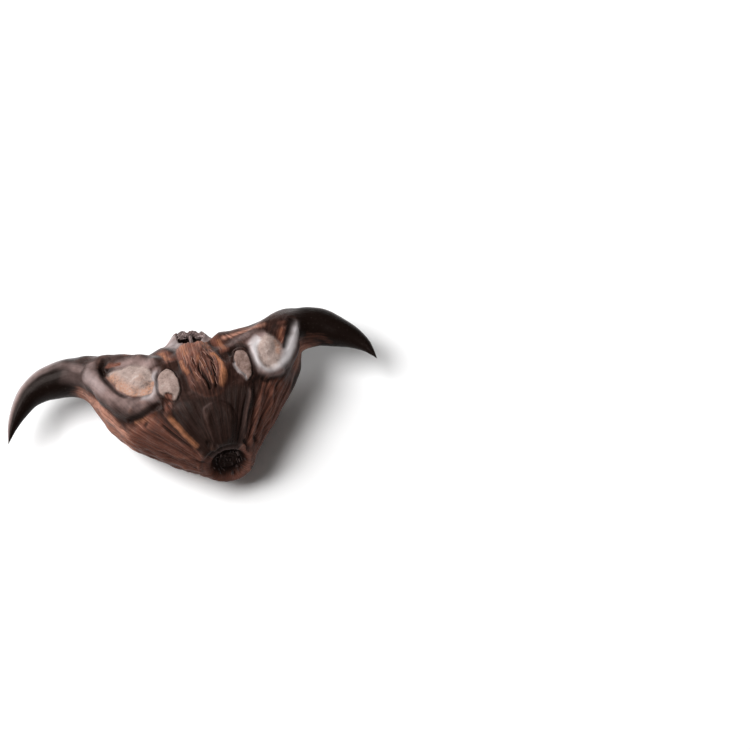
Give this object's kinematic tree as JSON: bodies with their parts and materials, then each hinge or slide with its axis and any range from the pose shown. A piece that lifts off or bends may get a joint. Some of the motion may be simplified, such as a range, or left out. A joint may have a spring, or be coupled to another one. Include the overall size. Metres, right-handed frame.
{
  "type": "water chestnut",
  "caption": "Whole two-horned water caltrop nut with ribbed husk, oval pads, open crown and a round stem scar, lying on its back.",
  "frame": {"origin": "under the middle of the nut's box, on the ground it rests on", "axes": "+X from the longer horn to the shorter one, +Y from the stem scar to the crown, +Z out of the patterned face"},
  "size_m": [0.072, 0.0326, 0.02],
  "materials": {
    "husk": "dark brown woody husk with a waxy satin bloom, paler on the pads"
  },
  "bodies": {
    "root": {"water_chestnut": "husk"}
  },
  "joints": []
}
